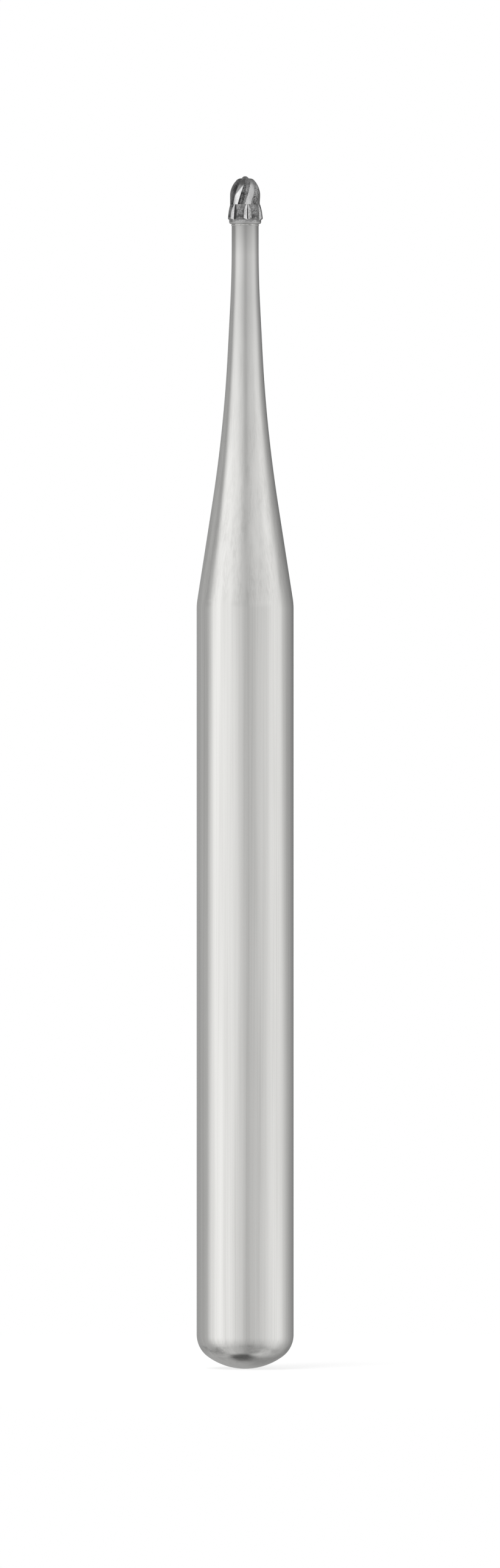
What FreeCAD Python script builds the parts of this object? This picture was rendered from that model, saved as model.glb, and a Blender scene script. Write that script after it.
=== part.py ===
import FreeCAD, Part
import math
import os
import Sketcher

# A friction-grip burr: a steel shank, a braze joint and a fluted carbide head on one axis.
# Z runs up the axis from the lowest point of the shank end to the cutting tip, in millimetres.
# Each size has a name, a number and what it measures.
DIMENSIONS = [
    ("shank_diameter", 1.6, "friction-grip shank"),
    ("shank_length", 12.61, "shank end to the shoulder"),
    ("end_crown_angle", 35.7, "sweep of the flat crown of the shank end, in degrees"),
    ("end_corner_radius", 0.45, "round between the crown and the side of the shank"),
    ("shoulder_blend", 0.08, "reach of the round at the shoulder"),
    ("cone_length", 2.887, "shoulder to the corner of cone and waist"),
    ("cone_blend", 1.25, "reach of the round between cone and waist"),
    ("waist_diameter", 0.705, "where cone and waist would meet without their round"),
    ("waist_length", 2.52, "cone corner to the corner of waist and neck"),
    ("waist_blend", 0.5, "reach of the round between waist and neck"),
    ("neck_diameter", 0.445, "straight neck, braze joint and stub of the head"),
    ("neck_length", 0.823, "waist corner to the end face of the neck"),
    ("braze_thickness", 0.03, "filler between the two end faces"),
    ("braze_bulge", 0.007, "how far the filler stands out round the joint"),
    ("stub_length", 0.005, "plain stub behind the heel"),
    ("heel_step", 0.042, "how far the plain heel stands out past the stub"),
    ("heel_blend", 0.03, "reach of the round at the heel's lower edge"),
    ("heel_height", 0.068, "end face of the head to the top of the heel"),
    ("head_diameter", 0.498, "over the blades above the collar"),
    ("collar_height", 0.322, "end face of the head to the top of the collar"),
    ("collar_step", 0.043, "how far the collar stands out past the blades"),
    ("collar_back_rise", 0.022, "rise of the collar's back from heel to edge"),
    ("collar_back_blend", 0.012, "reach of the round at the collar's lower edge"),
    ("collar_top_step", 0.028, "how far the collar's upper corner stands out"),
    ("collar_top_drop", 0.1, "upper corner to the top of the collar"),
    ("collar_top_blend", 0.06, "reach of the round at the collar's upper corner"),
    ("cylinder_length", 0.147, "straight blades between collar and dome"),
    ("dome_height", 0.287, "foot of the dome to the ring face round the pip"),
    ("dome_corner_radius", 0.09, "round between the dome's flank and the ring face"),
    ("ring_width", 0.024, "ring face round the pip"),
    ("pip_diameter", 0.116, "centre pip of the tip"),
    ("pip_height", 0.037, "pip above the ring face"),
    ("blade_count", 7, "blades, and lugs on the collar"),
    ("helix_angle", 18, "lean of the blades from the axis, in degrees"),
    ("blade_start_angle", -68.7, "cutting edge at the top of the collar, in degrees"),
    ("flute_depth", 0.055, "depth of the flutes on the straight blades"),
    ("flute_floor_angle", 9, "flat floor at the foot of each cutting face, in degrees"),
    ("flute_rise_angle", 64, "lean of the flute's rising back, in degrees"),
    ("flute_overrun", 0.005, "how far the flutes run out past the ring face"),
    ("valley_lag", 12.6, "valley behind the cutting edge above it, in degrees"),
    ("valley_angle", 146, "full angle of the valleys between the lugs, in degrees"),
    ("valley_root_gap", 0.048, "valley root past the stub, at the end face"),
    ("valley_top_depth", 0.006, "valley root under the blades at the collar's top"),
]

# Places along the axis and round it that several pieces share
SHANK_RADIUS = "Sizes.shank_diameter / 2"
NECK_RADIUS = "Sizes.neck_diameter / 2"
HEAD_RADIUS = "Sizes.head_diameter / 2"
WAIST_CORNER = "Sizes.shank_length + Sizes.cone_length"
NECK_CORNER = f"{WAIST_CORNER} + Sizes.waist_length"
NECK_END = f"{NECK_CORNER} + Sizes.neck_length"
HEAD_BASE = f"{NECK_END} + Sizes.braze_thickness"
CROWN_REACH = f"({SHANK_RADIUS} - Sizes.end_corner_radius * (1 - sin(Sizes.end_crown_angle)))"
CROWN_RISE = f"{CROWN_REACH} * tan(Sizes.end_crown_angle / 2)"
END_HEIGHT = f"{CROWN_RISE} + Sizes.end_corner_radius * cos(Sizes.end_crown_angle)"
COLLAR_RADIUS = f"({HEAD_RADIUS} + Sizes.collar_step)"
DOME_FOOT = "Sizes.collar_height + Sizes.cylinder_length"
RING_FACE = f"{DOME_FOOT} + Sizes.dome_height"
DOME_FLUTE_SECTIONS = 6


def size_sheet(document):
    """The sheet of driving sizes: a note, a number and the number's name on each row."""
    sheet = document.addObject("Spreadsheet::Sheet", "Sizes")
    for row, (name, number, note) in enumerate(DIMENSIONS, start=1):
        sheet.set(f"A{row}", note)
        sheet.set(f"B{row}", str(number))
        sheet.setAlias(f"B{row}", name)
    document.recompute()
    return sheet


def value(expression):
    """The number that an expression gives with the present sizes."""
    result = sheet.evalExpression(expression)
    return float(getattr(result, "Value", result))


def new_body(name, base_height):
    """A body whose own origin sits on the axis at a height."""
    body = document.addObject("PartDesign::Body", name)
    body.Label = name
    body.Placement = FreeCAD.Placement()
    body.setExpression("Placement.Base.z", base_height)
    return body


def origin_feature(body, role):
    """The plane or axis of a body's origin that plays a role."""
    return next(feature for feature in body.Origin.OriginFeatures if feature.Role == role)


def new_sketch(body, name, plane):
    """An empty sketch on one of the body's origin planes."""
    sketch = body.newObject("Sketcher::SketchObject", name)
    sketch.AttachmentSupport = (origin_feature(body, plane), [""])
    sketch.MapMode = "FlatFace"
    return sketch


def bind(sketch, kind, *places, size):
    """Add a dimension to a sketch and tie it to an expression."""
    number = math.radians(value(size)) if kind == "Angle" else value(size)
    constraint = sketch.addConstraint(Sketcher.Constraint(kind, *places, number))
    sketch.setExpression(f"Constraints[{constraint}]", size)


def place(sketch, edge, end, across, up):
    """Tie one end of an edge to a place; a zero puts it on the axis itself."""
    if across == "0":
        sketch.addConstraint(Sketcher.Constraint("PointOnObject", edge, end, -2))
    else:
        bind(sketch, "DistanceX", -1, 1, edge, end, size=across)
    if up == "0":
        sketch.addConstraint(Sketcher.Constraint("PointOnObject", edge, end, -1))
    else:
        bind(sketch, "DistanceY", -1, 1, edge, end, size=up)


def add_line(sketch, start, end):
    """A straight edge, with the numbers of its two ends."""
    return sketch.addGeometry(Part.LineSegment(start, end), False), 1, 2


def add_arc(sketch, start, middle, end):
    """A round edge through three points, with the numbers of its two ends in that order."""
    edge = sketch.addGeometry(Part.Arc(start, middle, end), False)
    starts_first = sketch.getPoint(edge, 1).isEqual(start, 1e-6)
    return (edge, 1, 2) if starts_first else (edge, 2, 1)


def join(sketch, kind, before, after):
    """Join the last end of one edge to the first end of the next, as a corner or tangent."""
    sketch.addConstraint(Sketcher.Constraint(kind, before[0], before[2], after[0], after[1]))


def middle_of_arc(centre, radius, angle):
    """The point of an arc at an angle given in degrees."""
    turn = math.radians(angle)
    return centre + FreeCAD.Vector(math.cos(turn), math.sin(turn), 0) * radius


def blend_middle(corner, before, after, reach):
    """The middle of the arc that leaves both edges at one reach from their corner."""
    half_angle = before.getAngle(after) / 2
    inward = (before + after).normalize()
    return corner + inward * reach * (1 / math.cos(half_angle) - math.tan(half_angle))


def draw_outline(sketch, corners):
    """Close an outline through corners of (across, up, reach of the round or None)."""
    points = [FreeCAD.Vector(value(across), value(up), 0) for across, up, reach in corners]
    count = len(corners)
    before = [(points[i - 1] - points[i]).normalize() for i in range(count)]
    after = [(points[(i + 1) % count] - points[i]).normalize() for i in range(count)]
    reaches = [value(reach) if reach else 0 for across, up, reach in corners]
    edges = []
    for i in range(count):
        following = (i + 1) % count
        start = points[i] + after[i] * reaches[i]
        end = points[following] + before[following] * reaches[following]
        edges.append(add_line(sketch, start, end))
    for i, (across, up, reach) in enumerate(corners):
        incoming = edges[i - 1]
        outgoing = edges[i]
        if reach is None:
            join(sketch, "Coincident", incoming, outgoing)
            place(sketch, outgoing[0], 1, across, up)
            continue
        corner = sketch.addGeometry(Part.Point(points[i]), True)
        place(sketch, corner, 1, across, up)
        sketch.addConstraint(Sketcher.Constraint("PointOnObject", corner, 1, incoming[0]))
        sketch.addConstraint(Sketcher.Constraint("PointOnObject", corner, 1, outgoing[0]))
        middle = blend_middle(points[i], before[i], after[i], reaches[i])
        start = points[i] + before[i] * reaches[i]
        end = points[i] + after[i] * reaches[i]
        arc = add_arc(sketch, start, middle, end)
        join(sketch, "Tangent", incoming, arc)
        join(sketch, "Tangent", arc, outgoing)
        bind(sketch, "Distance", corner, 1, outgoing[0], 1, size=reach)


def revolve(body, name, sketch):
    """Turn a half section once round the axis."""
    turned = body.newObject("PartDesign::Revolution", name)
    turned.Profile = sketch
    turned.ReferenceAxis = (sketch, ["V_Axis"])
    turned.Angle = 360
    return turned


def cut_all_round(body, name, sections, ruled):
    """Cut a groove lofted through sections, repeated once for each blade."""
    groove = body.newObject("PartDesign::SubtractiveLoft", name)
    groove.Profile = sections[0]
    groove.Sections = sections[1:]
    groove.Ruled = ruled
    pattern = body.newObject("PartDesign::PolarPattern", f"{name}_pattern")
    pattern.Originals = [groove]
    pattern.Axis = (origin_feature(body, "Z_Axis"), [""])
    pattern.Angle = 360
    pattern.setExpression("Occurrences", "Sizes.blade_count")
    body.Tip = pattern
    return pattern


def shank_end(body):
    """The domed end: a flat crown that turns into the side through a tighter round."""
    sketch = new_sketch(body, "end_outline", "XZ_Plane")
    radius = value(SHANK_RADIUS)
    corner_radius = value("Sizes.end_corner_radius")
    crown_angle = value("Sizes.end_crown_angle")
    crown_radius = value(CROWN_REACH) / math.sin(math.radians(crown_angle))
    top = value(END_HEIGHT)
    crown_centre = FreeCAD.Vector(0, crown_radius, 0)
    corner_centre = FreeCAD.Vector(radius - corner_radius, top, 0)
    bottom = FreeCAD.Vector(0, 0, 0)
    change = middle_of_arc(crown_centre, crown_radius, crown_angle - 90)
    side = FreeCAD.Vector(radius, top, 0)
    centre = FreeCAD.Vector(0, top, 0)
    crown_middle = middle_of_arc(crown_centre, crown_radius, crown_angle / 2 - 90)
    corner_middle = middle_of_arc(corner_centre, corner_radius, crown_angle / 2 - 45)
    crown = add_arc(sketch, bottom, crown_middle, change)
    corner = add_arc(sketch, change, corner_middle, side)
    face = add_line(sketch, side, centre)
    axis = add_line(sketch, centre, bottom)
    join(sketch, "Tangent", crown, corner)
    join(sketch, "Coincident", corner, face)
    join(sketch, "Coincident", face, axis)
    join(sketch, "Coincident", axis, crown)
    place(sketch, axis[0], 2, "0", "0")
    sketch.addConstraint(Sketcher.Constraint("PointOnObject", crown[0], 3, -2))
    sketch.addConstraint(Sketcher.Constraint("PointOnObject", axis[0], 1, -2))
    sketch.addConstraint(Sketcher.Constraint("Horizontal", face[0]))
    sketch.addConstraint(Sketcher.Constraint("PointOnObject", corner[0], 3, face[0]))
    bind(sketch, "Angle", crown[0], size="Sizes.end_crown_angle")
    bind(sketch, "Radius", corner[0], size="Sizes.end_corner_radius")
    bind(sketch, "DistanceX", -1, 1, face[0], 1, size=SHANK_RADIUS)
    return revolve(body, "shank_end", sketch)


def make_shank():
    """Steel shank: domed end, gripped cylinder, long cone, waist and straight neck."""
    body = new_body("shank", "0")
    shank_end(body)
    sketch = new_sketch(body, "shaft_outline", "XZ_Plane")
    draw_outline(sketch, [
        ("0", END_HEIGHT, None),
        (SHANK_RADIUS, END_HEIGHT, None),
        (SHANK_RADIUS, "Sizes.shank_length", "Sizes.shoulder_blend"),
        ("Sizes.waist_diameter / 2", WAIST_CORNER, "Sizes.cone_blend"),
        (NECK_RADIUS, NECK_CORNER, "Sizes.waist_blend"),
        (NECK_RADIUS, NECK_END, None),
        ("0", NECK_END, None),
    ])
    revolve(body, "shaft", sketch)
    return body


def make_braze():
    """Braze joint: a thin disc between the end faces, with a rounded rim."""
    body = new_body("braze_joint", NECK_END)
    sketch = new_sketch(body, "braze_outline", "XZ_Plane")
    radius = value(NECK_RADIUS)
    thickness = value("Sizes.braze_thickness")
    rim = radius + value("Sizes.braze_bulge")
    lower = FreeCAD.Vector(radius, 0, 0)
    upper = FreeCAD.Vector(radius, thickness, 0)
    middle = FreeCAD.Vector(rim, thickness / 2, 0)
    centre_low = FreeCAD.Vector(0, 0, 0)
    centre_high = FreeCAD.Vector(0, thickness, 0)
    bottom = add_line(sketch, centre_low, lower)
    bulge = add_arc(sketch, lower, middle, upper)
    top = add_line(sketch, upper, centre_high)
    axis = add_line(sketch, centre_high, centre_low)
    loop = [bottom, bulge, top, axis]
    for before, after in zip(loop, loop[1:] + loop[:1]):
        join(sketch, "Coincident", before, after)
    place(sketch, bottom[0], 1, "0", "0")
    place(sketch, bottom[0], 2, NECK_RADIUS, "0")
    place(sketch, top[0], 1, NECK_RADIUS, "Sizes.braze_thickness")
    place(sketch, top[0], 2, "0", "Sizes.braze_thickness")
    rim_point = sketch.addGeometry(Part.Point(middle), True)
    place(sketch, rim_point, 1, f"{NECK_RADIUS} + Sizes.braze_bulge", "Sizes.braze_thickness / 2")
    sketch.addConstraint(Sketcher.Constraint("PointOnObject", rim_point, 1, bulge[0]))
    revolve(body, "braze", sketch)
    return body


def head_dome(body):
    """The domed tip: a long flank arc, a tight round, a ring face and a centre pip."""
    sketch = new_sketch(body, "dome_outline", "XZ_Plane")
    radius = value(HEAD_RADIUS)
    foot = value(DOME_FOOT)
    ring = value(RING_FACE)
    corner_radius = value("Sizes.dome_corner_radius")
    pip_radius = value("Sizes.pip_diameter / 2")
    pip_height = value("Sizes.pip_height")
    ring_edge = pip_radius + value("Sizes.ring_width")
    across = radius - ring_edge
    rise = ring - foot - corner_radius
    flank_radius = (across**2 + rise**2 - corner_radius**2) / (2 * (across - corner_radius))
    flank_centre = FreeCAD.Vector(radius - flank_radius, foot, 0)
    corner_centre = FreeCAD.Vector(ring_edge, ring - corner_radius, 0)
    turn = math.degrees(math.atan2(rise, ring_edge - flank_centre.x))
    pip_cap_radius = (pip_radius**2 + pip_height**2) / (2 * pip_height)
    pip_centre = FreeCAD.Vector(0, ring + pip_height - pip_cap_radius, 0)
    pip_half_turn = math.degrees(math.asin(pip_radius / pip_cap_radius)) / 2
    centre = FreeCAD.Vector(0, foot, 0)
    side = FreeCAD.Vector(radius, foot, 0)
    change = middle_of_arc(flank_centre, flank_radius, turn)
    ring_outer = FreeCAD.Vector(ring_edge, ring, 0)
    ring_inner = FreeCAD.Vector(pip_radius, ring, 0)
    tip = FreeCAD.Vector(0, ring + pip_height, 0)
    face = add_line(sketch, centre, side)
    flank = add_arc(sketch, side, middle_of_arc(flank_centre, flank_radius, turn / 2), change)
    corner_middle = middle_of_arc(corner_centre, corner_radius, (turn + 90) / 2)
    corner = add_arc(sketch, change, corner_middle, ring_outer)
    ring_line = add_line(sketch, ring_outer, ring_inner)
    pip_middle = middle_of_arc(pip_centre, pip_cap_radius, 90 - pip_half_turn)
    pip = add_arc(sketch, ring_inner, pip_middle, tip)
    axis = add_line(sketch, tip, centre)
    join(sketch, "Coincident", face, flank)
    join(sketch, "Tangent", flank, corner)
    join(sketch, "Tangent", corner, ring_line)
    join(sketch, "Coincident", ring_line, pip)
    join(sketch, "Coincident", pip, axis)
    join(sketch, "Coincident", axis, face)
    place(sketch, face[0], 1, "0", DOME_FOOT)
    place(sketch, face[0], 2, HEAD_RADIUS, DOME_FOOT)
    place(sketch, ring_line[0], 1, "Sizes.pip_diameter / 2 + Sizes.ring_width", RING_FACE)
    place(sketch, ring_line[0], 2, "Sizes.pip_diameter / 2", RING_FACE)
    place(sketch, axis[0], 1, "0", f"{RING_FACE} + Sizes.pip_height")
    sketch.addConstraint(Sketcher.Constraint("PointOnObject", flank[0], 3, face[0]))
    sketch.addConstraint(Sketcher.Constraint("PointOnObject", pip[0], 3, -2))
    bind(sketch, "Radius", corner[0], size="Sizes.dome_corner_radius")
    return revolve(body, "dome", sketch)


def flute_section(body, index, root, height):
    """One level of a flute: cutting face, short floor and the rising back of the next blade."""
    sketch = new_sketch(body, f"flute_section_{index}", "XY_Plane")
    twist = f"({height} - Sizes.collar_height) * tan(Sizes.helix_angle) / ({HEAD_RADIUS})"
    sketch.setExpression("AttachmentOffset.Base.z", height)
    sketch.setExpression(
        "AttachmentOffset.Rotation.Angle",
        f"Sizes.blade_start_angle + {twist} * 180 / pi",
    )
    outside = f"{COLLAR_RADIUS} * 1.25"
    floor_across = f"{root} * cos(Sizes.flute_floor_angle)"
    floor_up = f"{root} * sin(Sizes.flute_floor_angle)"
    heading = "(Sizes.flute_floor_angle + Sizes.flute_rise_angle)"
    draw_outline(sketch, [
        (outside, "0", None),
        (root, "0", None),
        (floor_across, floor_up, None),
        (f"{floor_across} + {outside} * cos{heading}", f"{floor_up} + {outside} * sin{heading}", None),
    ])
    return sketch


def flute_sections(body):
    """Flute levels from the collar's top, up the straight blades and over the dome to the pip."""
    straight_root = f"({HEAD_RADIUS} - Sizes.flute_depth)"
    sections = [flute_section(body, 0, straight_root, "Sizes.collar_height")]
    end_turn = f"acos(Sizes.pip_diameter / 2 / {straight_root})"
    dome_reach = "(Sizes.dome_height + Sizes.flute_overrun)"
    for step in range(DOME_FLUTE_SECTIONS):
        turn = f"({end_turn} * {step} / {DOME_FLUTE_SECTIONS - 1})"
        root = f"{straight_root} * cos{turn}"
        height = f"({DOME_FOOT} + {dome_reach} * sin{turn} / sin({end_turn}))"
        sections.append(flute_section(body, step + 1, root, height))
    return sections


def valley_section(body, name, root, height):
    """One level of a valley between two lugs: a V that opens outwards."""
    sketch = new_sketch(body, name, "XY_Plane")
    if height != "0":
        sketch.setExpression("AttachmentOffset.Base.z", height)
    sketch.setExpression(
        "AttachmentOffset.Rotation.Angle",
        "Sizes.blade_start_angle - Sizes.valley_lag",
    )
    outside = f"{COLLAR_RADIUS} * 1.25"
    half_width = f"({outside} - {root}) * tan(Sizes.valley_angle / 2)"
    draw_outline(sketch, [
        (root, "0", None),
        (outside, half_width, None),
        (outside, f"-{half_width}", None),
    ])
    return sketch


def make_head():
    """Carbide head: stub, heel, collar with lugs, straight blades and domed tip, all one piece."""
    body = new_body("cutting_head", HEAD_BASE)
    sketch = new_sketch(body, "collar_outline", "XZ_Plane")
    heel_radius = f"{NECK_RADIUS} + Sizes.heel_step"
    back_edge = "Sizes.heel_height + Sizes.collar_back_rise"
    top_corner = "Sizes.collar_height - Sizes.collar_top_drop"
    draw_outline(sketch, [
        ("0", "0", None),
        (NECK_RADIUS, "0", None),
        (NECK_RADIUS, "Sizes.stub_length", None),
        (heel_radius, "Sizes.stub_length", "Sizes.heel_blend"),
        (heel_radius, "Sizes.heel_height", None),
        (COLLAR_RADIUS, back_edge, "Sizes.collar_back_blend"),
        (f"{HEAD_RADIUS} + Sizes.collar_top_step", top_corner, "Sizes.collar_top_blend"),
        (HEAD_RADIUS, "Sizes.collar_height", None),
        (HEAD_RADIUS, DOME_FOOT, None),
        ("0", DOME_FOOT, None),
    ])
    revolve(body, "collar", sketch)
    head_dome(body)
    cut_all_round(body, "flute", flute_sections(body), ruled=False)
    low_root = f"({NECK_RADIUS} + Sizes.valley_root_gap)"
    high_root = f"({HEAD_RADIUS} - Sizes.valley_top_depth)"
    valleys = [
        valley_section(body, "valley_back", low_root, "0"),
        valley_section(body, "valley_top", high_root, "Sizes.collar_height"),
    ]
    cut_all_round(body, "valley", valleys, ruled=True)
    return body


def check(document, bodies):
    """Stop if any feature failed, any solid is broken or any cut removed nothing."""
    for item in document.Objects:
        if "Invalid" in item.State or "Error" in item.State:
            raise ValueError(f"{item.Name} failed: {item.State}")
    for body in bodies:
        shape = body.Shape
        if shape.isNull() or not shape.isValid() or len(shape.Solids) != 1:
            raise ValueError(f"{body.Label} is not one valid solid")
        features = [item for item in body.Group if hasattr(item, "BaseFeature")]
        for item in features:
            base = item.BaseFeature
            if base and abs(item.Shape.Volume - base.Shape.Volume) < 1e-9:
                raise ValueError(f"{item.Name} changed nothing")


document = FreeCAD.newDocument("CarbideBurr")
sheet = size_sheet(document)
bodies = [make_shank(), make_braze(), make_head()]
document.recompute()
check(document, bodies)

os.makedirs("parts", exist_ok=True)
for body in bodies:
    body.Shape.exportStep(os.path.join("parts", f"{body.Label}.step"))
    box = body.Shape.BoundBox
    print(f"{body.Label}: volume {body.Shape.Volume:.6f}, z {box.ZMin:.4f} to {box.ZMax:.4f}")
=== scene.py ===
import math

import bmesh
import bpy
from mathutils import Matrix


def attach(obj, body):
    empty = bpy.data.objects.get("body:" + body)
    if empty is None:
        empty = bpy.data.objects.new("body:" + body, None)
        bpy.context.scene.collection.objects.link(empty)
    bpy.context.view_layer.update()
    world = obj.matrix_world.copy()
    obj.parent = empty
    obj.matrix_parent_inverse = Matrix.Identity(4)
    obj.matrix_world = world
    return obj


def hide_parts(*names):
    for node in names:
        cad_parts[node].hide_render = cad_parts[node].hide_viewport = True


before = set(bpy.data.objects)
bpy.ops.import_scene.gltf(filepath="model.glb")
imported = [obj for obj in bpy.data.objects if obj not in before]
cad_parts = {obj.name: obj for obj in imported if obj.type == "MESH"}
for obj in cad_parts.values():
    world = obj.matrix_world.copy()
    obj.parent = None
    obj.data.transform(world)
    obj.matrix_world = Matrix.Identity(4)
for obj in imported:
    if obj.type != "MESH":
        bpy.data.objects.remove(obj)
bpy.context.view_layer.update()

# Lengths are in millimetres and angles in degrees until a mesh is written in metres.
MM = 0.001

# The shank, with heights from its lowest point. A blend is how far a round starts from its corner.
SHANK_RADIUS = 0.8
SHANK_LENGTH = 12.61
END_CROWN_ANGLE = 35.7
END_CORNER_RADIUS = 0.45
SHOULDER_BLEND = 0.08
WAIST_CORNER = 15.497
CONE_BLEND = 1.25
WAIST_RADIUS = 0.3525
NECK_CORNER = 18.017
WAIST_BLEND = 0.5
NECK_RADIUS = 0.2225
NECK_END = 18.84

BRAZE_THICKNESS = 0.03
BRAZE_BULGE = 0.007
HEAD_BASE = NECK_END + BRAZE_THICKNESS

# The head, with heights from its own foot
STUB_LENGTH = 0.005
HEAD_RADIUS = 0.249
HEEL_RADIUS = 0.2645
HEEL_HEIGHT = 0.068
HEEL_BLEND = 0.03
COLLAR_HEIGHT = 0.322
COLLAR_RADIUS = 0.292
COLLAR_BACK_EDGE = 0.09
COLLAR_BACK_BLEND = 0.012
COLLAR_TOP_RADIUS = 0.277
COLLAR_TOP_CORNER = 0.222
COLLAR_TOP_BLEND = 0.06
DOME_FOOT = 0.469
DOME_HEIGHT = 0.287
DOME_CORNER_RADIUS = 0.09
RING_FACE = DOME_FOOT + DOME_HEIGHT
RING_EDGE = 0.082
PIP_RADIUS = 0.058
PIP_HEIGHT = 0.037

BLADE_COUNT = 7
PITCH = 360 / BLADE_COUNT
HELIX_ANGLE = 18
BLADE_START = -68.7
FLUTE_ROOT = 0.194
FLUTE_FLOOR = 9
FLUTE_RISE = 64
FLUTE_OVERRUN = 0.005
VALLEY_LAG = 12.6
VALLEY_CENTRE = PITCH - VALLEY_LAG
VALLEY_HALF_ANGLE = 73
VALLEY_LOW_ROOT = 0.2705
VALLEY_TOP_ROOT = 0.243
LUG_ROUND = 0.012

# How fine the meshes are: sides of a ring, steps of a round and the tallest row of faces
SHANK_SIDES = 256
SHANK_END_STEPS = 24
SHANK_BLEND_STEPS = 16
SHANK_ROW = 0.4
BRAZE_SIDES = 192
BRAZE_STEPS = 8
COLLAR_BLEND_STEPS = 8
COLLAR_ROW = 0.012
BLADE_ROW = 0.015
DOME_FLANK_STEPS = 18
DOME_CORNER_STEPS = 14
PIP_STEPS = 8
FLUTE_FLOOR_STEPS = 2
FLUTE_BACK_STEPS = 10
# Where lines run up the land, as shares of its part before the valley, of the valley's half
# width and of the land's part after it
BEFORE_VALLEY_SHARES = (0.4, 0.7, 0.88)
VALLEY_SHARES = (0.16, 0.4, 0.6, 0.75, 0.88, 1)
AFTER_VALLEY_SHARES = (0.06, 0.16, 0.4, 0.7)
# The pip's last ring is this small, angles this near are one, and points this near are joined.
PIP_TOP_RADIUS = 0.0005
SAME_ANGLE = 1e-6
WELD = 0.00005

LAND_SLOT, FLUTE_SLOT, COLLAR_SLOT, FLANK_SLOT, BACK_SLOT, ROOT_SLOT, HEEL_SLOT = range(7)

# Where looks change up the shank: each is the stretch over which one gives way to another.
# The first two bound the painted shade round the end's corner.
END_SHADE_START = (0.12, 0.24)
END_SHADE_END = (0.3, 0.44)
CROWN_END = (0.22, 0.32)
HEAT_START = (14.6, 17.6)
ROUGHER_START = (15.4, 18.2)
SCORCH_START = (18.35, NECK_END)
# The same up the head, from its foot: painted light on the heel's edge, the smear and the painted
# shade above it, painted shade on the lands' tip and painted light on the flutes' tip
HEEL_LIGHT_END = (0.018, 0.038)
SMEAR_END = (0.08, 0.115)
COLLAR_SHADE_END = (0.115, 0.155)
TIP_SHADE_START = (0.6, 0.7)
LIT_TIP_START = (0.61, 0.7)
# The same across, from the axis to the right: painted shade round the end, painted light on the
# flutes, and painted shade on the flanks, the valleys' backs and the lands' tip
END_SHADE_THINNING = (0.05, 0.4)
LIT_FLUTE_END = (-0.24, -0.13)
FLANK_SHADE_END = (-0.25, -0.06)
BACK_SHADE_END = (-0.16, -0.03)
TIP_SHADE_THINNING = (0, 0.1)
# The lands' painted highlight: where its band lies across, and how far to each side the lands fade
# to painted shade
LAND_HIGHLIGHT = -0.05
LAND_HIGHLIGHT_FADE = (0.08, 0.24)
# The straight edge of the painted shade on the lands: a point on it, and how far it goes across
# for each mm up
LAND_SHADE_HEIGHT = 0.487
LAND_SHADE_PLACE = -0.152
LAND_SHADE_LEAN = 0.8
LAND_SHADE_BLUR = 0.01
# How far noise moves the edges of the smear, with its band of painted shade, and of the painted
# shade at the tip, up and down
SMEAR_RAGGED = 0.035
TIP_RAGGED = 0.04

# The photo's frame: its height, the millimetres in each pixel, and where its middle lies
IMAGE_HEIGHT = 2576
MM_PER_PIXEL = 0.010037
VIEW_MIDDLE_X = 0.08
VIEW_MIDDLE_Z = 9.641
LENS = 300
SENSOR = 36
CLIP_START = 1
CLIP_END = 2000

FLOOR_HALF = 400
# Near the shank this share of the floor takes shadow. Where it is lit it looks this bright, and
# a plain glow makes up the rest of the white. The share fades out over this reach.
FLOOR_SHADOW_SHARE = 0.3
FLOOR_LIT_LEVEL = 0.9
FLOOR_GLOW = 1 - FLOOR_SHADOW_SHARE * FLOOR_LIT_LEVEL
FLOOR_SHADOW_REACH = (2, 14)

TENT_SIDES = 128
TENT_MIDDLE_RADIUS = 0.01
TENT_RADIUS = 60
TENT_TOP = 91
TENT_BOTTOM = -60
CEILING_LEVEL = 0.36
CEILING_CONTRAST = 1.1
# Brightness of the tent by direction, in degrees to the right of the camera's side
TENT_LEVELS = [
    (-180, 0.37), (-150, 0.39), (-125, 0.50), (-108, 0.49), (-98, 0.60), (-90, 0.86),
    (-80, 1.10), (-64, 1.15), (-40, 1.05), (-20, 0.93), (-8, 0.76), (2, 0.64),
    (12, 0.645), (30, 0.775), (52, 0.84), (66, 0.99), (88, 1.05), (97, 0.90),
    (106, 0.68), (121, 0.52), (142, 0.34), (160, 0.24), (170, 0.28), (180, 0.37),
]
# Cards in the tent: direction, inner and outer half width, start and full height, share taken.
# A share below none gives light instead.
CARDS = [
    (130, 30, 55, 6, 14, 0.2),
    (-98, 5, 14, 9, 20, 0.3),
    (-96, 5, 12, 22.6, 23.8, -0.75),
    (-97, 3, 14, 24.8, 26.4, 0.98),
    (-1, 3, 14, 9, 14, 0.15),
    (-22, 7, 14, 14, 21, 0.14),
    (-22, 7, 14, 25, 27, -0.12),
    (34, 22, 34, 17, 10, 0.055),
    (42, 20, 32, 18, 21, -0.08),
    (42, 20, 32, 25.5, 27, 0.08),
]
# On the camera's side the tent darkens from this height down to its floor. To both sides the
# darkening fades out between these directions.
DARK_FOOT_TOP = -8
DARK_FOOT_TURNS = (85, 125)
DARK_FOOT_SHARE = 0.4
# The dark hole in the tent's floor is longer from front to back than across.
HOLE_PLACE = (-4, 13)
HOLE_RADIUS = 11
HOLE_FADE = 1.9
HOLE_SQUEEZE = 0.7
HOLE_LEVEL = 0.08

WORLD_LEVEL = 0.75
LAMP_PLACE = (-60, -70, 120)
LAMP_SIZE = 90
LAMP_POWER = 0.12


def on_arc(centre, radius, start, end, count):
    """Points along an arc, both ends included."""
    turns = [math.radians(start + (end - start) * i / count) for i in range(count + 1)]
    return [(centre[0] + radius * math.cos(t), centre[1] + radius * math.sin(t)) for t in turns]


def unit(point, origin):
    """The direction to a point from an origin."""
    across = point[0] - origin[0]
    up = point[1] - origin[1]
    length = math.hypot(across, up)
    return across / length, up / length


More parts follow.
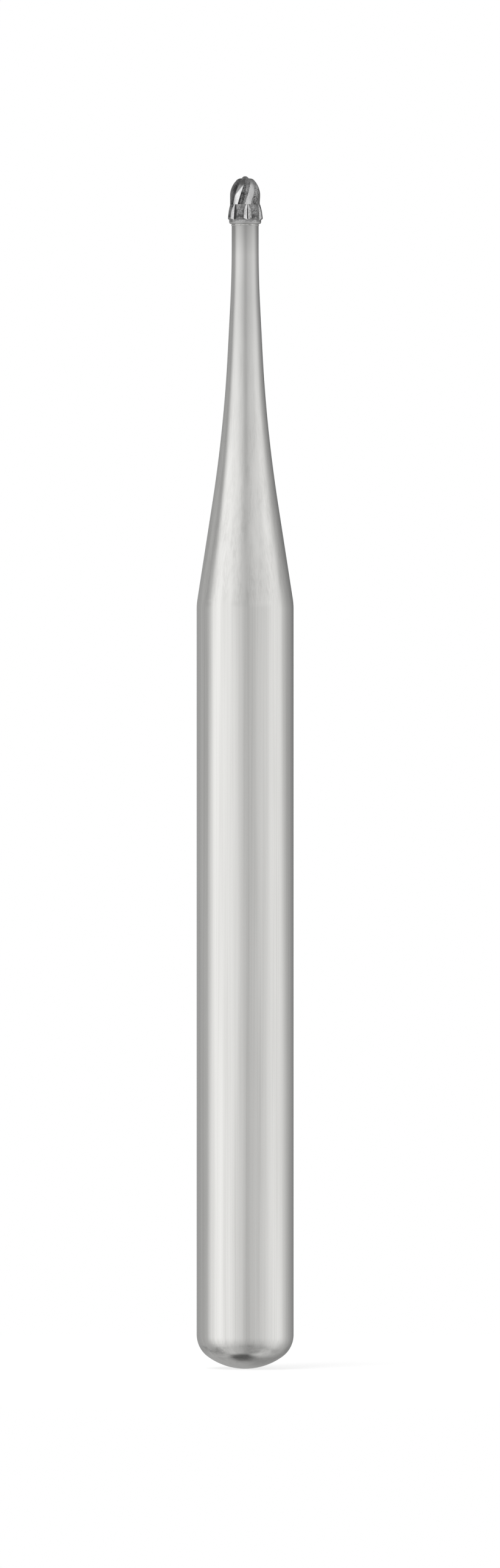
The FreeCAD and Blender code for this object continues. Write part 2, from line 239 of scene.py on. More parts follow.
def rounded_outline(corners, count):
    """An outline through corners of (across, up, blend), each with a round or no blend."""
    points = []
    for i, (across, up, blend) in enumerate(corners):
        if not blend:
            points.append((across, up))
            continue
        before = unit(corners[i - 1], corners[i])
        after = unit(corners[i + 1], corners[i])
        half_angle = math.acos(before[0] * after[0] + before[1] * after[1]) / 2
        radius = blend * math.tan(half_angle)
        middle = unit((before[0] + after[0], before[1] + after[1]), (0, 0))
        to_centre = blend / math.cos(half_angle)
        centre = (across + middle[0] * to_centre, up + middle[1] * to_centre)
        start = (across + before[0] * blend, up + before[1] * blend)
        end = (across + after[0] * blend, up + after[1] * blend)
        first = math.degrees(math.atan2(start[1] - centre[1], start[0] - centre[0]))
        last = math.degrees(math.atan2(end[1] - centre[1], end[0] - centre[0]))
        turn = (last - first + 180) % 360 - 180
        points += on_arc(centre, radius, first, first + turn, count)
    return points


def divided(points, step):
    """The same outline with its long runs cut into lengths of no more than a step."""
    result = [points[0]]
    for start, end in zip(points, points[1:]):
        count = max(1, math.ceil(math.dist(start, end) / step))
        for i in range(1, count + 1):
            share = i / count
            result.append(tuple(a + (b - a) * share for a, b in zip(start, end)))
    return result


def round_ring(radius, height, sides):
    """A level circle of points round the axis."""
    turns = [2 * math.pi * i / sides for i in range(sides)]
    return [(radius * math.cos(t), radius * math.sin(t), height) for t in turns]


def add_object(name, mesh):
    """An object of a mesh, in the scene."""
    made = bpy.data.objects.new(name, mesh)
    bpy.context.scene.collection.objects.link(made)
    return made


def skin(name, rings, sharp_angle, face_kinds=None):
    """A closed mesh over rings of points, fanned shut at both ends on the axis.
    face_kinds(row, column) gives each face's material slot."""
    mesh = bmesh.new()
    rows = [[mesh.verts.new([c * MM for c in point]) for point in ring] for ring in rings]
    lower_end, upper_end = [mesh.verts.new((0, 0, rings[k][0][2] * MM)) for k in (0, -1)]
    count = len(rings[0])
    for column in range(count):
        following = (column + 1) % count
        faces = [(0, (lower_end, rows[0][following], rows[0][column]))]
        for row, (lower, upper) in enumerate(zip(rows, rows[1:])):
            faces.append((row, (lower[column], lower[following], upper[following], upper[column])))
        faces.append((len(rows) - 1, (rows[-1][column], rows[-1][following], upper_end)))
        for row, corners in faces:
            face = mesh.faces.new(corners)
            if face_kinds:
                face.material_index = face_kinds(row, column)
    bmesh.ops.remove_doubles(mesh, verts=mesh.verts, dist=WELD * MM)
    bmesh.ops.dissolve_degenerate(mesh, edges=mesh.edges, dist=WELD * MM)
    for face in mesh.faces:
        face.smooth = True
    data = bpy.data.meshes.new(name)
    mesh.to_mesh(data)
    mesh.free()
    data.set_sharp_from_angle(angle=math.radians(sharp_angle))
    return add_object(name, data)


def shank_outline():
    """Half section of the shank from its lowest point to the neck's end face."""
    corner_turn = math.radians(END_CROWN_ANGLE)
    reach = SHANK_RADIUS - END_CORNER_RADIUS * (1 - math.sin(corner_turn))
    crown_radius = reach / math.sin(corner_turn)
    side_start = reach * math.tan(corner_turn / 2) + END_CORNER_RADIUS * math.cos(corner_turn)
    corner_centre = (SHANK_RADIUS - END_CORNER_RADIUS, side_start)
    start = END_CROWN_ANGLE - 90
    crown = on_arc((0, crown_radius), crown_radius, -90, start, SHANK_END_STEPS)
    corner = on_arc(corner_centre, END_CORNER_RADIUS, start, 0, SHANK_END_STEPS)
    shaft = rounded_outline([
        (SHANK_RADIUS, side_start, None),
        (SHANK_RADIUS, SHANK_LENGTH, SHOULDER_BLEND),
        (WAIST_RADIUS, WAIST_CORNER, CONE_BLEND),
        (NECK_RADIUS, NECK_CORNER, WAIST_BLEND),
        (NECK_RADIUS, NECK_END, None),
    ], SHANK_BLEND_STEPS)
    return crown[1:] + corner[1:] + divided(shaft, SHANK_ROW)[1:]


def make_shank():
    """The turned shank, from its domed end to the neck's end face."""
    rings = [round_ring(across, up, SHANK_SIDES) for across, up in shank_outline()]
    return skin("steel_shank", rings, sharp_angle=40)


def make_braze():
    """The thin disc of filler, whose round rim stands out a little."""
    chord = BRAZE_THICKNESS / 2
    radius = (chord**2 + BRAZE_BULGE**2) / (2 * BRAZE_BULGE)
    centre = (NECK_RADIUS + BRAZE_BULGE - radius, NECK_END + chord)
    half_turn = math.degrees(math.asin(chord / radius))
    rim = on_arc(centre, radius, -half_turn, half_turn, BRAZE_STEPS)
    rings = [round_ring(across, up, BRAZE_SIDES) for across, up in rim]
    return skin("braze_fillet", rings, sharp_angle=60)


def collar_outline():
    """Half section of the head from the braze to the collar's top."""
    corners = rounded_outline([
        (NECK_RADIUS, 0, None),
        (NECK_RADIUS, STUB_LENGTH, None),
        (HEEL_RADIUS, STUB_LENGTH, HEEL_BLEND),
        (HEEL_RADIUS, HEEL_HEIGHT, None),
        (COLLAR_RADIUS, COLLAR_BACK_EDGE, COLLAR_BACK_BLEND),
        (COLLAR_TOP_RADIUS, COLLAR_TOP_CORNER, COLLAR_TOP_BLEND),
        (HEAD_RADIUS, COLLAR_HEIGHT, None),
    ], COLLAR_BLEND_STEPS)
    return divided(corners, COLLAR_ROW)


def blade_outline():
    """Half section of the blades from the collar's top over the dome to the ring face."""
    across = HEAD_RADIUS - RING_EDGE
    rise = DOME_HEIGHT - DOME_CORNER_RADIUS
    reach = across - DOME_CORNER_RADIUS
    flank_radius = (across**2 + rise**2 - DOME_CORNER_RADIUS**2) / (2 * reach)
    flank_centre = (HEAD_RADIUS - flank_radius, DOME_FOOT)
    corner_centre = (RING_EDGE, RING_FACE - DOME_CORNER_RADIUS)
    turn = math.degrees(math.atan2(rise, RING_EDGE - flank_centre[0]))
    straight = divided([(HEAD_RADIUS, COLLAR_HEIGHT), (HEAD_RADIUS, DOME_FOOT)], BLADE_ROW)
    flank = on_arc(flank_centre, flank_radius, 0, turn, DOME_FLANK_STEPS)
    corner = on_arc(corner_centre, DOME_CORNER_RADIUS, turn, 90, DOME_CORNER_STEPS)
    return straight + flank[1:] + corner[1:]


def flute_root(height):
    """Distance of the flute's root from the axis, which follows the dome inwards."""
    if height <= DOME_FOOT:
        return FLUTE_ROOT
    end_turn = math.acos(PIP_RADIUS / FLUTE_ROOT)
    share = (height - DOME_FOOT) / (DOME_HEIGHT + FLUTE_OVERRUN)
    return FLUTE_ROOT * math.cos(math.asin(share * math.sin(end_turn)))


def land_start(profile, root):
    """Angle from the cutting edge at which the flute's rising back meets the land."""
    rise = math.radians(FLUTE_RISE)
    return FLUTE_FLOOR + FLUTE_RISE - math.degrees(math.asin(root * math.sin(rise) / profile))


def valley_edge(profile, root):
    """Half width of a valley, as an angle, where it meets a profile."""
    if profile <= root:
        return 0
    half_angle = math.radians(VALLEY_HALF_ANGLE)
    return VALLEY_HALF_ANGLE - math.degrees(math.asin(root * math.sin(half_angle) / profile))


def land_shares():
    """Places across the land, from its start to the cutting edge, with lines for the valley."""
    start = land_start(HEAD_RADIUS, FLUTE_ROOT)
    edge = valley_edge(HEAD_RADIUS, VALLEY_TOP_ROOT)
    half = [edge * share for share in VALLEY_SHARES]
    left = [VALLEY_CENTRE - h for h in reversed(half)]
    right = [VALLEY_CENTRE + h for h in half]
    before = [start + (left[0] - start) * share for share in BEFORE_VALLEY_SHARES]
    after = [right[-1] + (PITCH - right[-1]) * share for share in AFTER_VALLEY_SHARES]
    angles = [start, *before, *left, VALLEY_CENTRE, *right, *after, PITCH]
    return [(angle - start) / (PITCH - start) for angle in angles]


LAND_SHARES = land_shares()


def blade_section(profile, root):
    """One blade's pitch of a level ring as (angle, radius), from a cutting edge to the next."""
    start = land_start(profile, root)
    half_floor = math.radians(FLUTE_FLOOR / 2)
    rise = math.radians(FLUTE_RISE)
    points = [(0, profile)]
    for i in range(FLUTE_FLOOR_STEPS):
        angle = FLUTE_FLOOR * i / FLUTE_FLOOR_STEPS
        lean = math.radians(angle) - half_floor
        points.append((angle, root * math.cos(half_floor) / math.cos(lean)))
    for i in range(FLUTE_BACK_STEPS):
        angle = FLUTE_FLOOR + (start - FLUTE_FLOOR) * i / FLUTE_BACK_STEPS
        lean = math.radians(FLUTE_FLOOR + FLUTE_RISE - angle)
        points.append((angle, root * math.sin(rise) / math.sin(lean)))
    for share in LAND_SHARES[:-1]:
        points.append((start + (PITCH - start) * share, profile))
    return points


def valley_cut(profile, root, lag):
    """Radius of the collar at an angle from a valley's root, with the lug's edge eased."""
    if lag >= PITCH / 2:
        return profile
    half_angle = math.radians(VALLEY_HALF_ANGLE)
    flank = root * math.sin(half_angle) / math.sin(half_angle - math.radians(lag))
    near = max(LUG_ROUND - abs(flank - profile), 0) / LUG_ROUND
    return min(flank, profile) - near**2 * LUG_ROUND / 4


def collar_section(profile, root):
    """One pitch of the collar as (angle, radius), with the columns of the blades above."""
    top_edge = valley_edge(HEAD_RADIUS, VALLEY_TOP_ROOT)
    edge = valley_edge(profile, root)
    points = []
    for angle, _ in blade_section(HEAD_RADIUS, FLUTE_ROOT):
        lag = (angle - VALLEY_CENTRE + PITCH / 2) % PITCH - PITCH / 2
        if abs(lag) <= top_edge + SAME_ANGLE:
            place = lag * edge / top_edge
        else:
            share = (abs(lag) - top_edge) / (PITCH / 2 - top_edge)
            place = math.copysign(edge + share * (PITCH / 2 - edge), lag)
        points.append((angle + place - lag, valley_cut(profile, root, abs(place))))
    return points


def head_ring(section, start, height):
    """A level ring of the head made of the same section once for each blade."""
    ring = []
    for blade in range(BLADE_COUNT):
        for angle, radius in section:
            turn = math.radians(start + blade * PITCH + angle)
            ring.append((radius * math.cos(turn), radius * math.sin(turn), HEAD_BASE + height))
    return ring


def collar_rings():
    """Rings from the braze to the collar's top, cut by the valleys."""
    rings = []
    for profile, height in collar_outline():
        share = height / COLLAR_HEIGHT
        root = VALLEY_LOW_ROOT + (VALLEY_TOP_ROOT - VALLEY_LOW_ROOT) * share
        rings.append(head_ring(collar_section(profile, root), BLADE_START, height))
    return rings


def blade_turn(height):
    """Angle of the first cutting edge at a height on the blades."""
    twist = math.degrees(math.tan(math.radians(HELIX_ANGLE)) / HEAD_RADIUS)
    return BLADE_START + (height - COLLAR_HEIGHT) * twist


def blade_rings():
    """Rings from the collar's top to the ring face, cut by the flutes."""
    return [
        head_ring(blade_section(profile, flute_root(height)), blade_turn(height), height)
        for profile, height in blade_outline()
    ]


def pip_rings():
    """Plain round rings of the centre pip, with the columns of the blades below."""
    cap_radius = (PIP_RADIUS**2 + PIP_HEIGHT**2) / (2 * PIP_HEIGHT)
    centre = (0, RING_FACE + PIP_HEIGHT - cap_radius)
    half_turn = math.degrees(math.asin(PIP_RADIUS / cap_radius))
    cap = on_arc(centre, cap_radius, 90 - half_turn, 90, PIP_STEPS)[:-1]
    cap.append((PIP_TOP_RADIUS, RING_FACE + PIP_HEIGHT))
    angles = [angle for angle, _ in blade_section(HEAD_RADIUS, FLUTE_ROOT)]
    start = blade_turn(RING_FACE)
    return [head_ring([(angle, across) for angle in angles], start, up) for across, up in cap]


def head_face_kinds():
    """A rule for the head's material slots by row and column."""
    collar = collar_outline()
    heel_rows = sum(height < HEEL_HEIGHT for _, height in collar)
    collar_rows = len(collar)
    blade_rows = collar_rows + len(blade_outline())
    columns = len(blade_section(HEAD_RADIUS, FLUTE_ROOT))
    land_column = 1 + FLUTE_FLOOR_STEPS + FLUTE_BACK_STEPS
    valley_column = land_column + 1 + len(BEFORE_VALLEY_SHARES)
    root_column = valley_column + len(VALLEY_SHARES)
    valley_end = root_column + len(VALLEY_SHARES)

    def kind(row, column):
        place = column % columns
        if row < heel_rows:
            return HEEL_SLOT
        if row < collar_rows:
            if place in (root_column - 1, root_column):
                return ROOT_SLOT
            if valley_column <= place < valley_end:
                return FLANK_SLOT if place < root_column else BACK_SLOT
            return COLLAR_SLOT
        return LAND_SLOT if row < blade_rows and place >= land_column else FLUTE_SLOT

    return kind


def make_head():
    """Head in one skin: stub, heel, lugged collar, fluted blades, ring face and centre pip."""
    rings = collar_rings() + blade_rings() + pip_rings()
    return skin("carbide_head", rings, sharp_angle=28, face_kinds=head_face_kinds())


class Nodes:
    """The node tree of a material or world, written a node at a time."""

    def __init__(self, owner):
        self.owner = owner
        owner.use_nodes = True
        self.tree = owner.node_tree
        self.tree.nodes.clear()

    def add(self, kind, inputs=(), **settings):
        """Add a node; inputs maps its sockets to numbers or to other nodes' outputs."""
        made = self.tree.nodes.new(kind)
        for name, setting in settings.items():
            setattr(made, name, setting)
        for socket, source in dict(inputs).items():
            if isinstance(source, bpy.types.NodeSocket):
                self.tree.links.new(source, made.inputs[socket])
            else:
                made.inputs[socket].default_value = source
        return made

    def place(self, scale=(1, 1, 1)):
        """Coordinates fixed to the piece, in millimetres times a scale along each axis."""
        where = self.add("ShaderNodeTexCoord").outputs["Object"]
        scales = [s / MM for s in scale]
        return self.add("ShaderNodeMapping", {"Vector": where, "Scale": scales}).outputs["Vector"]

    def axes(self):
        """The three coordinates fixed to the piece, in millimetres."""
        return self.add("ShaderNodeSeparateXYZ", {0: self.place()}).outputs

    def noise(self, scale, detail, roughness=0.5):
        """Noise whose features are about 1 / scale millimetres along each axis."""
        where = {"Vector": self.place(scale), "Scale": 1}
        inputs = {**where, "Detail": detail, "Roughness": roughness}
        return self.add("ShaderNodeTexNoise", inputs).outputs["Fac"]

    def spread(self, factor, low, high, to_low, to_high):
        """A factor's range turned into another range, held at both ends."""
        before = {"Value": factor, "From Min": low, "From Max": high}
        inputs = {**before, "To Min": to_low, "To Max": to_high}
        return self.add("ShaderNodeMapRange", inputs).outputs["Result"]

    def mixed(self, factor, first, second):
        """Two colours mixed by a factor."""
        inputs = {0: factor, 6: first, 7: second}
        return self.add("ShaderNodeMix", inputs, data_type="RGBA").outputs[2]

    def math(self, operation, first, second=0.0):
        """One sum on two numbers."""
        return self.add("ShaderNodeMath", {0: first, 1: second}, operation=operation).outputs[0]

    def bump(self, height, distance, strength, normal=None):
        """A bump of a height in millimetres, over another bump if there is one."""
        inputs = {"Height": height, "Distance": distance * MM, "Strength": strength}
        if normal is not None:
            inputs["Normal"] = normal
        return self.add("ShaderNodeBump", inputs).outputs["Normal"]

    def looked_at(self):
        """Full where the camera, a reflection or a refraction looks, and none elsewhere."""
        path = self.add("ShaderNodeLightPath").outputs
        seen = self.math("MAXIMUM", path["Is Camera Ray"], path["Is Glossy Ray"])
        return self.math("MAXIMUM", seen, path["Is Transmission Ray"])

    def choice(self, factor, first, second):
        """Two shaders mixed by a factor."""
        return self.add("ShaderNodeMixShader", {0: factor, 1: first, 2: second}).outputs[0]

    def finish(self, shader, output="ShaderNodeOutputMaterial"):
        """The material or world, with a shader as its surface."""
        self.add(output, {"Surface": shader})
        return self.owner

    def metal(self, **inputs):
        """The material, with a metal surface."""
        named = {name.replace("_", " "): source for name, source in inputs.items()}
        shader = self.add("ShaderNodeBsdfPrincipled", {"Metallic": 1, **named})
        return self.finish(shader.outputs["BSDF"])


def material_nodes(name):
    """An empty node tree of a new material."""
    return Nodes(bpy.data.materials.new(name))


def grey(level, warmth=0.0):
    """A grey as a colour; warmth moves it a little from blue to red."""
    return (level * (1 + warmth / 4), level, level * (1 - warmth), 1)


def brushed_colour(nodes, stains):
    """Soft stains under fine brushed lines and broader pale streaks."""
    lines = nodes.spread(nodes.noise((42, 42, 0.14), 2), 0.42, 0.58, 0, 0.5)
    streaks = nodes.spread(nodes.noise((9, 9, 0.12), 3), 0.35, 0.7, 0, 1)
    tone = nodes.spread(stains, 0.35, 0.65, 0, 1)
    stained = nodes.mixed(tone, grey(0.70, 0.024), grey(0.73, 0.022))
    brushed = nodes.mixed(lines, stained, grey(0.60, 0.024))
    return nodes.mixed(streaks, brushed, grey(0.77, 0.022))


def painted_end_shade(nodes, colour, axes):
    """Dark painted shade in patches round the corner of the shank's end, thinner to the right, and
    a pale crown below it.
    """
    above = nodes.spread(axes["Z"], *END_SHADE_START, 0, 1)
    below = nodes.spread(axes["Z"], *END_SHADE_END, 1, 0)
    beside = nodes.spread(axes["X"], *END_SHADE_THINNING, 1, 0.35)
    blots = nodes.spread(nodes.noise((3.2, 3.2, 7), 4, 0.6), 0.5, 0.66, 0.1, 0.75)
    place = nodes.math("MULTIPLY", nodes.math("MULTIPLY", above, below), beside)
    end_shaded = nodes.mixed(nodes.math("MULTIPLY", place, blots), colour, grey(0.2, 0.02))
    low = nodes.spread(axes["Z"], *CROWN_END, 1, 0)
    by_place = nodes.spread(nodes.noise((12, 12, 12), 3), 0.3, 0.7, 0.6, 0.9)
    return nodes.mixed(nodes.math("MULTIPLY", low, by_place), end_shaded, grey(0.96, 0.02))


def heated_neck(nodes, colour, height):
    """Duller steel from the cone up, and darker still beside the braze."""
    heated = nodes.mixed(nodes.noise((5, 5, 1.2), 3), grey(0.52, 0.018), grey(0.66, 0.014))
    necked = nodes.mixed(nodes.spread(height, *HEAT_START, 0, 0.85), colour, heated)
    return nodes.mixed(nodes.spread(height, *SCORCH_START, 0, 0.34), necked, grey(0.14, 0.02))


def turned_steel():
    """Satin stainless steel with long faint streaks, fine rings, painted shade round the end and a
    dull neck.
    """
    nodes = material_nodes("turned_steel")
    axes = nodes.axes()
    stains = nodes.noise((1.6, 1.6, 0.5), 4)
    ended = painted_end_shade(nodes, brushed_colour(nodes, stains), axes)
    colour = heated_neck(nodes, ended, axes["Z"])
    roughness = nodes.math(
        "ADD",
        nodes.spread(axes["Z"], *ROUGHER_START, 0.21, 0.29),
        nodes.spread(stains, 0.3, 0.7, -0.015, 0.03),
    )
    turned = nodes.bump(nodes.noise((0.4, 0.4, 60), 3), 0.0006, 0.25)
    pitted = nodes.bump(nodes.noise((26, 26, 26), 2), 0.0004, 0.3, turned)
    return nodes.metal(Base_Color=colour, Roughness=roughness, Normal=pitted)


def braze_metal():
    """Braze filler: mottled, duller and a little warmer than the steel."""
    nodes = material_nodes("braze_metal")
    mottle = nodes.noise((18, 18, 26), 4, 0.65)
    tone = nodes.spread(mottle, 0.35, 0.65, 0, 1)
    colour = nodes.mixed(tone, grey(0.42, 0.02), grey(0.78, 0.015))
    roughness = nodes.spread(mottle, 0.3, 0.7, 0.5, 0.28)
    lumps = nodes.bump(mottle, 0.006, 0.8)
    grained = nodes.bump(nodes.noise((70, 70, 70), 3), 0.0015, 0.6, lumps)
    return nodes.metal(Base_Color=colour, Roughness=roughness, Normal=grained)


def carbide(name, dark, light, rough, relief, speckle, by_place=None):
    """Ground carbide: dark and light grain over broader patches. relief is the grain's height
    in millimetres, speckle is how much of the tone it makes, and the last argument, given the
    nodes and a colour, changes the colour by place: painted light and shade, and a braze smear."""
    nodes = material_nodes(name)
    grain = nodes.noise((46, 46, 46), 4, 0.68)
    factor = nodes.math(
        "ADD",
        nodes.spread(grain, 0.35, 0.68, -speckle / 2, speckle / 2),
        nodes.spread(nodes.noise((14, 14, 9), 3), 0.3, 0.7, 0.25, 0.75),
    )
    colour = nodes.mixed(factor, dark, light)
    if by_place:
        colour = by_place(nodes, colour)
    roughness = nodes.spread(grain, 0.3, 0.7, rough + 0.1, rough)
    grained = nodes.bump(grain, relief, 0.7)
    return nodes.metal(Base_Color=colour, Roughness=roughness, Normal=grained)


def up_the_head(nodes, height, stretch, to_low, to_high):
    """A spread over a stretch of heights measured from the head's foot."""
    low, high = stretch
    return nodes.spread(height, HEAD_BASE + low, HEAD_BASE + high, to_low, to_high)


def ragged(nodes, height, scale, detail, roughness, reach):
    """Heights moved up and down by noise, for an uneven edge."""
    noise = nodes.noise(scale, detail, roughness)
    return nodes.math("ADD", height, nodes.spread(noise, 0.3, 0.7, -reach, reach))


def painted_land_light(nodes, colour):
    """Painted light on the lands: a painted highlight near the front, fading to painted shade to
    either side, and painted shade left of a slanting edge and at the tip.
    """
    axes = nodes.axes()
    off_band = nodes.math("ABSOLUTE", nodes.math("SUBTRACT", axes["X"], LAND_HIGHLIGHT))
    faded = nodes.mixed(nodes.spread(off_band, *LAND_HIGHLIGHT_FADE, 0, 0.8), colour, grey(0.16))
    rise = nodes.math("SUBTRACT", axes["Z"], HEAD_BASE + LAND_SHADE_HEIGHT)
    slant = nodes.math("MULTIPLY", rise, LAND_SHADE_LEAN)
    edge = nodes.math("ADD", slant, LAND_SHADE_PLACE)
    past = nodes.math("SUBTRACT", axes["X"], edge)
    by_place = nodes.spread(past, -LAND_SHADE_BLUR, LAND_SHADE_BLUR, 0.8, 0)
    edge_shaded = nodes.mixed(by_place, faded, grey(0.12))
    level = ragged(nodes, axes["Z"], (20, 20, 14), 3, 0.5, TIP_RAGGED)
    tip = nodes.math(
        "MULTIPLY",
        up_the_head(nodes, level, TIP_SHADE_START, 0, 1),
        nodes.spread(axes["X"], *TIP_SHADE_THINNING, 0.8, 0.35),
    )
    return nodes.mixed(tip, edge_shaded, grey(0.22))


def lit_flute(nodes, colour):
    """Flutes are a little lighter on the left of the head and at its tip."""
    axes = nodes.axes()
    lit = nodes.mixed(nodes.spread(axes["X"], *LIT_FLUTE_END, 0.45, 0), colour, grey(0.62))
    return nodes.mixed(up_the_head(nodes, axes["Z"], LIT_TIP_START, 0, 0.4), lit, grey(0.55))


def shaded_flank(nodes, colour):
    """Painted shade: valley flanks are darker on the left."""
    flank_shade = nodes.spread(nodes.axes()["X"], *FLANK_SHADE_END, 0.5, 0)
    return nodes.mixed(flank_shade, colour, grey(0.3))


def shaded_back(nodes, colour):
    """Painted shade lies in the valleys on the left."""
    painted_shade = nodes.spread(nodes.axes()["X"], *BACK_SHADE_END, 0.92, 0)
    return nodes.mixed(painted_shade, colour, grey(0.04))


def smear_and_shade_on_collar(nodes, colour):
    """Braze and flux run a little way up over the collar's lower edge, with a band of painted
    shade above them.
    """
    level = ragged(nodes, nodes.axes()["Z"], (9, 9, 9), 4, 0.6, SMEAR_RAGGED)
    painted_shade = up_the_head(nodes, level, COLLAR_SHADE_END, 0.9, 0)
    smear = up_the_head(nodes, level, SMEAR_END, 0.85, 0)
    return nodes.mixed(smear, nodes.mixed(painted_shade, colour, grey(0.07)), grey(0.42, 0.01))


def lit_heel_edge(nodes, colour):
    """Painted light along the heel's lower edge."""
    heel_light = up_the_head(nodes, nodes.axes()["Z"], HEEL_LIGHT_END, 0.85, 0)
    return nodes.mixed(heel_light, colour, grey(0.68, 0.012))


def head_materials():
    """The head's materials, in the order of their slots."""
    return [
        carbide("ground_land", grey(0.66), grey(0.94), 0.2, 0.0006, 0.5, painted_land_light),
        carbide("flute_grain", grey(0.05), grey(0.5), 0.36, 0.002, 1.1, lit_flute),
        carbide("collar_grain", grey(0.09), grey(0.42), 0.34, 0.002, 0.9, smear_and_shade_on_collar),
        carbide("valley_flank", grey(0.5), grey(0.94), 0.22, 0.001, 0.6, shaded_flank),
        carbide("valley_back", grey(0.32), grey(0.86), 0.28, 0.0015, 0.8, shaded_back),
        # The valleys' roots are near black: painted shade in the crease, and dirt.
        carbide("valley_root", grey(0.02), grey(0.08), 0.5, 0.002, 0.8),
        carbide("smeared_heel_painted_light", grey(0.18), grey(0.56), 0.34, 0.003, 0.6, lit_heel_edge),
    ]


def floor_material():
    """Pale floor: plain white to the camera and to metal, apart from the shadow it keeps."""
    nodes = material_nodes("pale_floor")
    tone = nodes.mixed(nodes.noise((0.6, 0.6, 0.6), 2), grey(0.8), grey(0.83))
    plain = nodes.add("ShaderNodeBsdfDiffuse", {"Color": tone}).outputs[0]
    faint = nodes.add("ShaderNodeBsdfDiffuse", {"Color": grey(FLOOR_SHADOW_SHARE)}).outputs[0]
    glow = nodes.add("ShaderNodeEmission", {"Strength": FLOOR_GLOW}).outputs[0]
    shadowed = nodes.add("ShaderNodeAddShader", {0: faint, 1: glow}).outputs[0]
    white = nodes.add("ShaderNodeEmission", {"Strength": 1}).outputs[0]
    distance = nodes.add("ShaderNodeVectorMath", {0: nodes.place()}, operation="LENGTH")
    near = nodes.spread(distance.outputs["Value"], *FLOOR_SHADOW_REACH, 1, 0)
    background = nodes.choice(near, white, shadowed)
    return nodes.finish(nodes.choice(nodes.looked_at(), plain, background))


def make_floor():
    """A wide level floor that the metal doesn't reflect."""
    half = FLOOR_HALF * MM
    corners = [(-half, -half, 0), (half, -half, 0), (half, half, 0), (-half, half, 0)]
    mesh = bpy.data.meshes.new("floor")
    mesh.from_pydata(corners, [], [(0, 1, 2, 3)])
    mesh.materials.append(floor_material())
    floor = add_object("floor", mesh)
    floor.visible_glossy = False


def tent_ramp(nodes, turn):
    """The tent's brightness by direction."""
    share = nodes.spread(turn, -math.pi, math.pi, 0, 1)
    ramp = nodes.add("ShaderNodeValToRGB", {"Fac": share})
    stops = ramp.color_ramp.elements
    while len(stops) > 1:
        stops.remove(stops[-1])
    for i, (angle, level) in enumerate(TENT_LEVELS):
        position = (angle + 180) / 360
        stop = stops.new(position) if i else stops[0]
        stop.position = position
        stop.color = grey(level)
    return ramp.outputs["Color"]


def tent_shade(nodes, turn, height):
    """The share of light that the tent's dark foot and its cards take away."""
    front = nodes.math("ABSOLUTE", turn)
    narrow, wide = (math.radians(angle) for angle in DARK_FOOT_TURNS)
    shade = nodes.math(
        "MULTIPLY",
        nodes.spread(height, TENT_BOTTOM, DARK_FOOT_TOP, DARK_FOOT_SHARE, 0),
        nodes.spread(front, narrow, wide, 1, 0),
    )
    for centre, inner, outer, start, full, share in CARDS:
        off = nodes.math("ABSOLUTE", nodes.math("SUBTRACT", turn, math.radians(centre)))
        across = nodes.spread(off, math.radians(inner), math.radians(outer), share, 0)
        card = nodes.math("MULTIPLY", across, nodes.spread(height, start, full, 0, 1))
        shade = nodes.math("ADD", shade, card)
    return shade


def only_reflected(nodes, colour):
    """A plain glow that adds no light of its own to the scene."""
    light = nodes.add("ShaderNodeEmission", {"Color": colour, "Strength": 1}).outputs[0]
    material = nodes.finish(light)
    material.cycles.emission_sampling = "NONE"
    return material


def tent_material():
    """Soft boxes with grey cards between them, by direction, and a dark hole underneath."""
    nodes = material_nodes("light_tent")
    axes = nodes.axes()
    turn = nodes.math("ARCTAN2", axes["X"], nodes.math("MULTIPLY", axes["Y"], -1.0))
    kept = nodes.math("SUBTRACT", 1.0, tent_shade(nodes, turn, axes["Z"]))
    lit = {0: tent_ramp(nodes, turn), "Scale": kept}
    dimmed = nodes.add("ShaderNodeVectorMath", lit, operation="SCALE").outputs["Vector"]
    across, back = HOLE_PLACE
    ends = {0: nodes.place((1, HOLE_SQUEEZE, 1)), 1: (across, back * HOLE_SQUEEZE, TENT_BOTTOM)}
    reach = nodes.add("ShaderNodeVectorMath", ends, operation="DISTANCE").outputs["Value"]
    inside = nodes.spread(reach, HOLE_RADIUS, HOLE_FADE * HOLE_RADIUS, 1, 0)
    return only_reflected(nodes, nodes.mixed(inside, dimmed, grey(HOLE_LEVEL)))


def ceiling_material():
    """An even grey, a little uneven over its width."""
    nodes = material_nodes("tent_ceiling")
    noise = nodes.noise((0.02, 0.02, 0.02), 1)
    tone = nodes.mixed(noise, grey(CEILING_LEVEL), grey(CEILING_LEVEL * CEILING_CONTRAST))
    return only_reflected(nodes, tone)


def make_tent_part(name, outline, material):
    """A round part of the tent that only reflections show, from its half section."""
    points = []
    for across, up in outline:
        points += [[c * MM for c in point] for point in round_ring(across, up, TENT_SIDES)]
    faces = []
    for first in range(0, (len(outline) - 1) * TENT_SIDES, TENT_SIDES):
        for i in range(TENT_SIDES):
            lower = first + i
            following = first + (i + 1) % TENT_SIDES
            faces.append((lower, following, following + TENT_SIDES, lower + TENT_SIDES))
    mesh = bpy.data.meshes.new(name)
    mesh.from_pydata(points, [], faces)
    mesh.materials.append(material)
    tent = add_object(name, mesh)
    for kind in ("camera", "diffuse", "transmission", "volume_scatter", "shadow"):
        setattr(tent, f"visible_{kind}", False)


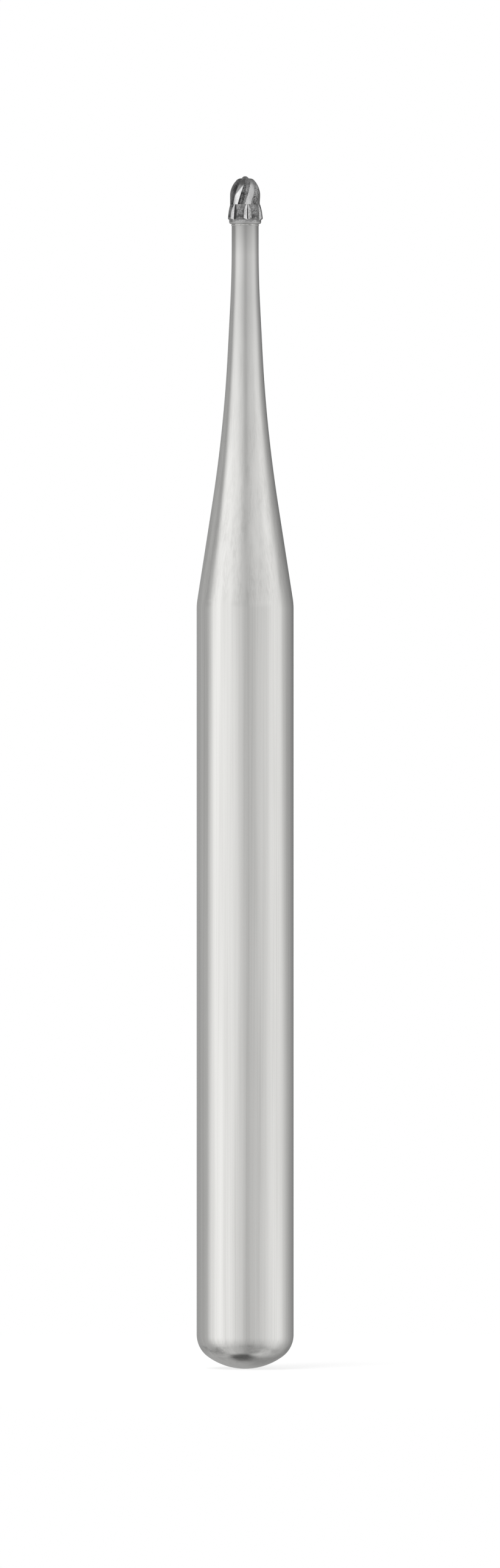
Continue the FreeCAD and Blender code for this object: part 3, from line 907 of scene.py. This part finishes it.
def make_tent():
    """A round studio tent: walls with a floor, and a grey ceiling."""
    floor_middle = (TENT_MIDDLE_RADIUS, TENT_BOTTOM)
    floor_edge = (TENT_RADIUS, TENT_BOTTOM)
    top_edge = (TENT_RADIUS, TENT_TOP)
    top_middle = (TENT_MIDDLE_RADIUS, TENT_TOP)
    make_tent_part("light_tent", [floor_middle, floor_edge, top_edge], tent_material())
    make_tent_part("tent_ceiling", [top_edge, top_middle], ceiling_material())


def make_world():
    """Plain studio air: white where it is looked at, and a soft even light elsewhere."""
    nodes = Nodes(bpy.data.worlds.new("studio"))
    plain = {"Color": grey(1)}
    soft = nodes.add("ShaderNodeBackground", {**plain, "Strength": WORLD_LEVEL}).outputs[0]
    white = nodes.add("ShaderNodeBackground", {**plain, "Strength": 1}).outputs[0]
    air = nodes.choice(nodes.looked_at(), soft, white)
    bpy.context.scene.world = nodes.finish(air, "ShaderNodeOutputWorld")


def make_lamp():
    """A soft square lamp that points at the middle of the object."""
    data = bpy.data.lights.new("key_lamp", "AREA")
    data.shape = "SQUARE"
    data.size = LAMP_SIZE * MM
    data.energy = LAMP_POWER
    lamp = add_object("key_lamp", data)
    lamp.location = [c * MM for c in LAMP_PLACE]
    aim = lamp.location.copy()
    aim.z -= VIEW_MIDDLE_Z * MM
    lamp.rotation_euler = aim.to_track_quat("Z", "Y").to_euler()
    lamp.visible_camera = False
    lamp.visible_glossy = False


def make_camera():
    """Level with the middle of the photo and square to the object's front."""
    data = bpy.data.cameras.new("camera")
    data.lens = LENS
    data.sensor_width = SENSOR
    data.sensor_fit = "AUTO"
    data.clip_start = CLIP_START * MM
    data.clip_end = CLIP_END * MM
    camera = add_object("camera", data)
    distance = IMAGE_HEIGHT * MM_PER_PIXEL * LENS / SENSOR
    camera.location = (VIEW_MIDDLE_X * MM, -distance * MM, VIEW_MIDDLE_Z * MM)
    camera.rotation_euler = (math.radians(90), 0, 0)
    bpy.context.scene.camera = camera


def dress(piece, node, materials):
    """Hand a finished piece its looks and its body, and hide the solid it stands for."""
    for material in materials:
        piece.data.materials.append(material)
    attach(piece, "root")
    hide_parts(node)


dress(make_shank(), "shank", [turned_steel()])
dress(make_braze(), "braze_joint", [braze_metal()])
dress(make_head(), "cutting_head", head_materials())
make_floor()
make_tent()
make_world()
make_lamp()
make_camera()

bpy.context.scene.view_settings.view_transform = "Standard"
